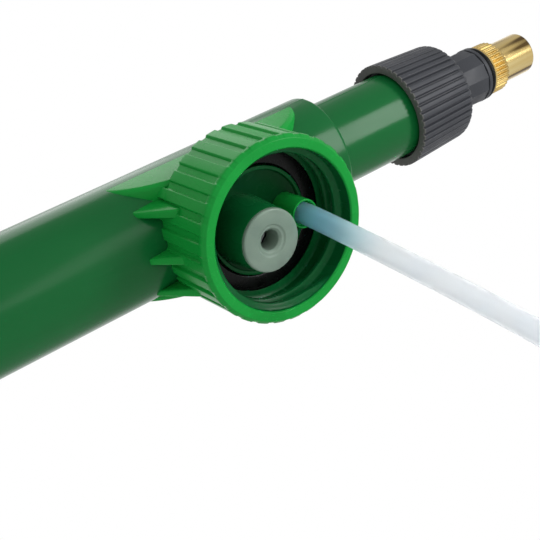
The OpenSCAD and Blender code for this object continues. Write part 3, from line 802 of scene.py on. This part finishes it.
ring_rows = loop([(68.7, RING_IN_R), (RING_BACK, RING_IN_R, 0.15), (RING_BACK, 5.55, 0.25),
                  (68.75, 5.72, 0.3), (RING_FRONT, 5.55, 0.25), (RING_FRONT, RING_IN_R, 0.15)])
carry(spun("holder_ring", ring_rows, RUBBER, closed=True), "jet_ring", "holder_o_ring")

# ---------------------------------------------------------------- brass nozzle

jet_low, jet_high = cad_box("brass_nozzle")
JET_BACK, JET_FRONT = jet_low[0], jet_high[0]
JET_BORE_R, JET_TIP_R, SPRAY_HOLE_R, JET_TIP_BACK, KNURLS = 3.16, 4.33, 0.5, 74.0, 34


def nozzle_piece():
    """The knurled collar and the smooth tip, one turned piece."""
    angles = rib_angles(KNURLS, [0, 0.1, 0.2, 0.3, 0.4, 0.5])
    # flat out to 0.16 of the knurls' spacing, then straight down to the groove at 0.42
    knurls = np.clip(1.6 - 3.8 * np.abs(from_rib(angles, KNURLS)), 0, 1)
    middle = 72.0       # on the bore, where the outline starts and ends
    rows = fillet([(middle, JET_BORE_R), (JET_BACK, JET_BORE_R, 0.2), (JET_BACK, 4.8, 0.1),
                   (JET_BACK + 0.55, 5.36)], 4)
    rows += raised([(69.87, 4.92, 0.44), (71.0, 4.91, 0.44), (72.3, 4.9, 0.44), (73.3, 4.88, 0.44),
                    (73.5, 4.86, 0.34), (73.66, 4.82, 0.16)], knurls)
    rows += fillet([(73.78, 4.72), (73.9, 4.5, 0.1), (JET_TIP_BACK + 0.1, JET_TIP_R, 0.1),
                    (JET_FRONT, JET_TIP_R, 0.75), (JET_FRONT, 1.6, 0.3),
                    (JET_FRONT - 0.5, SPRAY_HOLE_R, 0.1), (JET_FRONT - 1.5, SPRAY_HOLE_R, 0.1),
                    (JET_FRONT - 3.2, JET_BORE_R, 0.3), (middle, JET_BORE_R)], 6)[:-1]
    obj = spun("brass_nozzle_jet", rows, BRASS, angles=angles, closed=True, smooth_below=40)
    # painted reflection: the tip gets the brass streaked with dark and bright bands
    second_material(obj, TIP_BRASS_PAINTED_BANDS, lambda c: c.x > JET_TIP_BACK)
    return obj


carry(nozzle_piece(), "jet", "brass_nozzle")

# ---------------------------------------------------------------- gland nut and bump stop

gland_low, gland_high = cad_box("gland_nut")
GLAND_BACK, GLAND_FRONT = gland_low[0], gland_high[0]
GLAND_RIBS, GLAND_BORE_R, GLAND_HOLE_R, GLAND_R = 36, 11.03, 4.4, 12.65
BUMP_BACK, BUMP_FRONT, BUMP_IN_R, BUMP_R = -188.95, -186.05, 4.02, 7.4


def gland_piece():
    """The nut that closes the barrel's rear, with the same ribs as the union nut."""
    angles = rib_angles(GLAND_RIBS, RIB_MARKS)
    ribs = rib_pattern(angles, GLAND_RIBS, RIB_TOP, RIB_BASE)
    end_rise = [(0.0, 12.5, 0.05), (0.2, 12.6, 0.35), (0.4, 12.62, 0.55)]
    middle, wall_front = -175.0, GLAND_BACK + 4.6
    rows = fillet([(middle, GLAND_BORE_R), (wall_front, GLAND_BORE_R, 0.1),
                   (wall_front, GLAND_HOLE_R, 0.2), (GLAND_BACK, GLAND_HOLE_R, 0.3),
                   (GLAND_BACK, 11.6, 0.5), (GLAND_BACK + 0.4, 12.3)], 4)
    rows += raised([(GLAND_BACK + 0.7 + s, r, height) for s, r, height in end_rise], ribs)
    rows += raised([(s, GLAND_R, 0.62) for s in (-184.5, -180.0, -176.0, -172.0, -169.6)], ribs)
    rows += raised([(GLAND_FRONT - 1.9 - s, r, height) for s, r, height in end_rise[::-1]], ribs)
    rows += fillet([(GLAND_FRONT - 1.7, 12.5), (GLAND_FRONT, 12.4, 0.4),
                    (GLAND_FRONT, GLAND_BORE_R, 0.2), (middle, GLAND_BORE_R)], 4)[:-1]
    return spun("gland_nut_ribbed", rows, GREY, angles=angles, closed=True, smooth_below=50)


carry(gland_piece(), "frame", "gland_nut")

bump_rows = loop([(-187.5, BUMP_IN_R), (BUMP_BACK, BUMP_IN_R, 0.2), (BUMP_BACK, BUMP_R, 0.6),
                  (BUMP_FRONT, BUMP_R, 0.6), (BUMP_FRONT, BUMP_IN_R, 0.2)])
carry(spun("bump_ring", bump_rows, RUBBER, closed=True), "plunger", "bump_stop")

# ---------------------------------------------------------------- handle

BAR_X, BAR_HALF, BAR_R = -222.0, 33.5, 8.5      # the cross bar, and half its part between domes
BAR_SWELL, BAR_WAVE = 0.035, 42                 # its slow swells along Y
GRIP_GROOVES, GRIP_DEPTH, GRIP_LOW, GRIP_HIGH = 24, 0.35, 14, 31
STEM_BORE_R, STEM_FLOOR = 4.02, -216.0


def grip_share(y):
    """1 along the grooved part of each grip, easing to 0 over 2 mm at its ends."""
    rise = min(1, max(0, (abs(y) - GRIP_LOW) / 2))
    fall = min(1, max(0, (GRIP_HIGH - abs(y)) / 2))
    return ease(rise) * ease(fall)


def handle_bar():
    """The cross bar: a spindle with soft swells, domed ends and a grooved grip on each side."""
    angles = rib_angles(GRIP_GROOVES, [0, 0.2, 0.3, 0.4, 0.5])
    grooves = 1 - rib_pattern(angles, GRIP_GROOVES, 0.25, 0.45)
    full = BAR_HALF + BAR_R
    rows = []
    for y in np.linspace(-full, full, 120):
        past = max(0.0, abs(y) - BAR_HALF)
        dome = math.sqrt(max(0.0, 1 - (past / BAR_R) ** 2))
        swell = 1 - BAR_SWELL + BAR_SWELL * math.cos(2 * math.pi * y / BAR_WAVE)
        rows.append((y, BAR_R * dome * (swell if past == 0 else 1.0), -GRIP_DEPTH * grip_share(y)))
    rows[0], rows[-1] = (-full, 0.0, 0.0), (full, 0.0, 0.0)
    return spun("handle_bar", raised(rows, grooves), GREY, Y_AXIS, (BAR_X, 0, AXIS_Z), angles,
                smooth_below=60)


carry(handle_bar(), "plunger", "handle")
stem_rows = fillet([(-221.0, 0), (-221.0, 8.2, 0.5), (-208.0, 7.4), (-192.5, 7.3, 0.5),
                    (-192.0, 7.9, 0.3), (-189.2, 7.9, 0.5), (-189.05, STEM_BORE_R, 0.1),
                    (STEM_FLOOR, STEM_BORE_R, 0.2), (STEM_FLOOR, 0)], 5)
carry(spun("handle_stem", stem_rows, GREY), "plunger")

# ---------------------------------------------------------------- air valve's spring

SPRING_R, WIRE_R, SPRING_TURNS, COIL_STEPS, WIRE_STEPS = 2.5, 0.32, 4, 24, 12
SPRING_LOW, SPRING_HIGH, VALVE_LIFT = POCKET_FLOOR, 0.25, 1.5
END_ROOM = 1.1 * WIRE_R                 # from each end of the spring to its wire's middle


def spring_piece():
    """A coil of round wire between the floor of the plug's pocket and the poppet."""
    steps = COIL_STEPS * SPRING_TURNS
    wire = np.linspace(0, 2 * math.pi, WIRE_STEPS, endpoint=False)
    r = SPRING_R + WIRE_R * np.cos(wire)
    rings = []
    for i in range(steps + 1):
        angle = 2 * math.pi * i / COIL_STEPS
        z = SPRING_LOW + END_ROOM + (SPRING_HIGH - SPRING_LOW - 2 * END_ROOM) * i / steps
        rings.append(np.column_stack([VALVE_X + r * math.cos(angle), r * math.sin(angle),
                                      z + WIRE_R * np.sin(wire)]))
    faces = grid_faces(len(rings), WIRE_STEPS)
    faces.append(tuple(range(WIRE_STEPS)))
    faces.append(tuple(steps * WIRE_STEPS + j for j in range(WIRE_STEPS - 1, -1, -1)))
    return make_object("valve_spring_coil", np.concatenate(rings) * MM, faces, STEEL, 60)


spring = spring_piece()
carry(spring, "frame", "check_valve_spring")
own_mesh(spring)

# ---------------------------------------------------------------- CAD nodes that stay

for mat, nodes in ((RUBBER, ("check_valve_poppet", "nozzle_gasket", "stem_o_ring", "piston_cup",
                             "rod_seal")),
                   (GREY, ("piston_head", "piston_rod", "rod_guide")),
                   (STEEL, ("piston_nut", "handle_pin")),
                   (BRASS, ("jet_core",))):
    for node in nodes:
        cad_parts[node].material_slots[0].material = mat

# ---------------------------------------------------------------- floor and surround

GROUND_Z = -0.34                        # metres, below the dip tube's end
AWAY = (0.453, 0.443, 0.774)            # the way the camera looks
LIGHT_GREY, WHITE = 0.55, 1.0           # the surround's strength, and where the camera looks
FADE_START, FADE_END = 0.70, 0.94       # cosines of the angle from AWAY between the two

bpy.ops.mesh.primitive_plane_add(size=8, location=(0, 0, GROUND_Z))
floor = bpy.context.object
floor.name = "floor"
floor_mat, floor_nt, floor_bsdf = shader_tree("pale_floor")
floor_shades = [(NOISE_LOW, (0.92, 0.92, 0.92)), (NOISE_HIGH, (0.94, 0.94, 0.94))]
floor_nt.links.new(ramp(floor_nt, noise(floor_nt, 4, 3), floor_shades),
                   floor_bsdf.inputs["Base Color"])
set_inputs(floor_bsdf, {"Roughness": 0.6})
floor.data.materials.append(floor_mat)

world = bpy.data.worlds.new("studio")
bpy.context.scene.world = world
world.use_nodes = True
world_nt = world.node_tree
background = world_nt.nodes["Background"]
set_inputs(background, {"Color": (1, 1, 1, 1)})
sky = world_nt.nodes.new("ShaderNodeTexCoord")
facing = world_nt.nodes.new("ShaderNodeVectorMath")
facing.operation = "DOT_PRODUCT"
facing.inputs[1].default_value = AWAY
fade = world_nt.nodes.new("ShaderNodeMapRange")
fade.interpolation_type = "SMOOTHSTEP"
set_inputs(fade, {"From Min": FADE_START, "From Max": FADE_END, "To Min": LIGHT_GREY,
                  "To Max": WHITE})
world_nt.links.new(sky.outputs["Generated"], facing.inputs[0])
world_nt.links.new(facing.outputs["Value"], fade.inputs["Value"])
world_nt.links.new(fade.outputs["Result"], background.inputs["Strength"])


# ---------------------------------------------------------------- lamps

def columns_matrix(x, y, z, at):
    """The placement whose own X, Y and Z run along x, y and z, at the point at."""
    return Matrix(((x.x, y.x, z.x, at.x), (x.y, y.y, z.y, at.y), (x.z, y.z, z.z, at.z),
                   (0, 0, 0, 1)))


def softbox(name, target, direction, distance, size, power, across=(0, 0, 1)):
    """A lamp that the camera can't see, facing the target from the direction given. Across
    points roughly along its second side."""
    data = bpy.data.lights.new(name, "AREA")
    data.shape = "RECTANGLE"
    data.size, data.size_y = size
    data.energy = power
    obj = bpy.data.objects.new(name, data)
    bpy.context.scene.collection.objects.link(obj)
    obj.visible_camera = False
    towards = Vector(direction).normalized()
    side = Vector(across).cross(towards).normalized()
    obj.matrix_world = columns_matrix(side, towards.cross(side), towards,
                                      Vector(target) + towards * distance)


# key streaks the outlet tube and the nut, side the barrel, and tip the brass
softbox("key", target=(0.036, -0.004, 0.0075), direction=(0.58, -0.38, -0.72), distance=0.26,
        size=(0.07, 0.19), power=0.36, across=(0.009, -0.886, 0.464))
softbox("side", target=(-0.03, -0.005, 0.005), direction=(0.33, -0.46, -0.82), distance=0.2,
        size=(0.04, 0.125), power=0.027)
softbox("tip", target=(0.0783, -0.0015, 0.011), direction=(0.68, -0.203, -0.705), distance=0.26,
        size=(0.03, 0.09), power=0.014)
softbox("top", target=(0.02, 0, 0), direction=(0.2, -0.5, 1.0), distance=0.9, size=(0.6, 0.6),
        power=2)

# ---------------------------------------------------------------- camera

CAMERA_AT = Vector((-0.08974, -0.07797, -0.15345))
backward = -Vector(AWAY).normalized()
rightward = Vector((0.786, 0.211, -0.581)).normalized()
upward = backward.cross(rightward).normalized()
rightward = upward.cross(backward).normalized()

camera_data = bpy.data.cameras.new("camera")
camera_data.sensor_width = 36
camera_data.lens = 74.9
camera_data.clip_start = 0.01
camera_data.clip_end = 20
camera = bpy.data.objects.new("camera", camera_data)
bpy.context.scene.collection.objects.link(camera)
camera.matrix_world = columns_matrix(rightward, upward, backward, CAMERA_AT)
bpy.context.scene.camera = camera
bpy.context.scene.view_settings.view_transform = "Standard"
